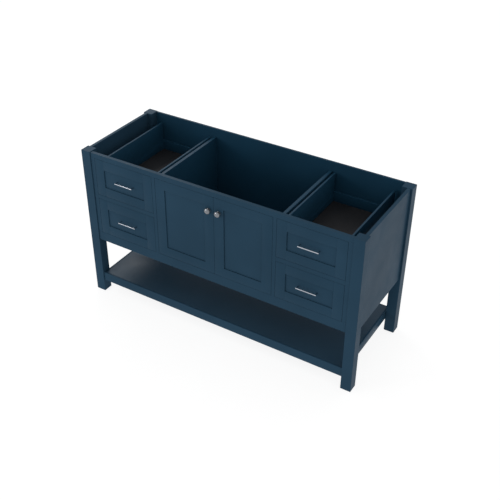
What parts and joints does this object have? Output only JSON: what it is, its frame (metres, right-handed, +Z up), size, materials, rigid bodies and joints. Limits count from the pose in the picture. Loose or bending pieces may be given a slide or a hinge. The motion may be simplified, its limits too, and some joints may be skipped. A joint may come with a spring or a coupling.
{
  "type": "bathroom vanity cabinet",
  "caption": "Free-standing bathroom vanity base on square corner posts, with an open top for a basin and worktop, hinged doors between banks of drawers, and an open slab shelf below.",
  "frame": {"origin": "on the floor, under the middle of the box that holds the whole object with its doors and drawers shut, knobs included", "axes": "+X to the right seen from the front, +Y from the doors to the back, +Z up"},
  "size_m": [1.524, 0.5706, 0.846],
  "materials": {
    "navy_paint": "satin navy paint on wood",
    "interior_paint": "flat navy paint on board",
    "shelf_paint": "satin navy paint on board",
    "drawer_floor": "clear lacquered plywood",
    "nickel": "satin nickel",
    "zinc_steel": "zinc plated"
  },
  "bodies": {
    "carcass": {"back_panel": "navy_paint", "bottom_panel": "interior_paint", "face_rail_bottom": "navy_paint", "face_rail_middle_left": "navy_paint", "face_rail_middle_right": "navy_paint", "face_rail_top": "navy_paint", "face_stile_inner_left": "navy_paint", "face_stile_inner_right": "navy_paint", "face_stile_outer_left": "navy_paint", "face_stile_outer_right": "navy_paint", "hinge_arm_lower_left": "zinc_steel", "hinge_arm_lower_right": "zinc_steel", "hinge_arm_upper_left": "zinc_steel", "hinge_arm_upper_right": "zinc_steel", "leg_back_left": "navy_paint", "leg_back_right": "navy_paint", "leg_front_left": "navy_paint", "leg_front_right": "navy_paint", "partition_left": "interior_paint", "partition_right": "interior_paint", "shelf_board": "shelf_paint", "shelf_front_rail": "shelf_paint", "shelf_side_and_back_rails": "shelf_paint", "side_panel_left": "navy_paint", "side_panel_right": "navy_paint", "slide_inner_lower_left": "zinc_steel", "slide_inner_lower_right": "zinc_steel", "slide_inner_upper_left": "zinc_steel", "slide_inner_upper_right": "zinc_steel", "slide_outer_lower_left": "zinc_steel", "slide_outer_lower_right": "zinc_steel", "slide_outer_upper_left": "zinc_steel", "slide_outer_upper_right": "zinc_steel"},
    "door_left": {"door_frame_left": "navy_paint", "door_panel_left": "navy_paint", "hinge_cup_lower_left": "zinc_steel", "hinge_cup_upper_left": "zinc_steel", "knob_left": "nickel"},
    "drawer_lower_left": {"drawer_box_lower_left": "interior_paint", "drawer_floor_lower_left": "drawer_floor", "drawer_front_lower_left": "navy_paint", "pull_lower_left": "nickel"},
    "drawer_upper_left": {"drawer_box_upper_left": "interior_paint", "drawer_floor_upper_left": "drawer_floor", "drawer_front_upper_left": "navy_paint", "pull_upper_left": "nickel"},
    "door_right": {"door_frame_right": "navy_paint", "door_panel_right": "navy_paint", "hinge_cup_lower_right": "zinc_steel", "hinge_cup_upper_right": "zinc_steel", "knob_right": "nickel"},
    "drawer_lower_right": {"drawer_box_lower_right": "interior_paint", "drawer_floor_lower_right": "drawer_floor", "drawer_front_lower_right": "navy_paint", "pull_lower_right": "nickel"},
    "drawer_upper_right": {"drawer_box_upper_right": "interior_paint", "drawer_floor_upper_right": "drawer_floor", "drawer_front_upper_right": "navy_paint", "pull_upper_right": "nickel"}
  },
  "joints": [
    {"name": "door_left_hinge", "type": "hinge", "parent": "carcass", "child": "door_left", "pos_m": [-0.321, -0.26325, 0.60175], "axis": [0, 0, -1], "range_deg": [0, 90]},
    {"name": "drawer_lower_left_slide", "type": "slide", "parent": "carcass", "child": "drawer_lower_left", "axis": [0, -1, 0], "range_m": [0, 0.4]},
    {"name": "drawer_upper_left_slide", "type": "slide", "parent": "carcass", "child": "drawer_upper_left", "axis": [0, -1, 0], "range_m": [0, 0.4]},
    {"name": "door_right_hinge", "type": "hinge", "parent": "carcass", "child": "door_right", "pos_m": [0.321, -0.26325, 0.60175], "axis": [0, 0, 1], "range_deg": [0, 90]},
    {"name": "drawer_lower_right_slide", "type": "slide", "parent": "carcass", "child": "drawer_lower_right", "axis": [0, -1, 0], "range_m": [0, 0.4]},
    {"name": "drawer_upper_right_slide", "type": "slide", "parent": "carcass", "child": "drawer_upper_right", "axis": [0, -1, 0], "range_m": [0, 0.4]}
  ]
}
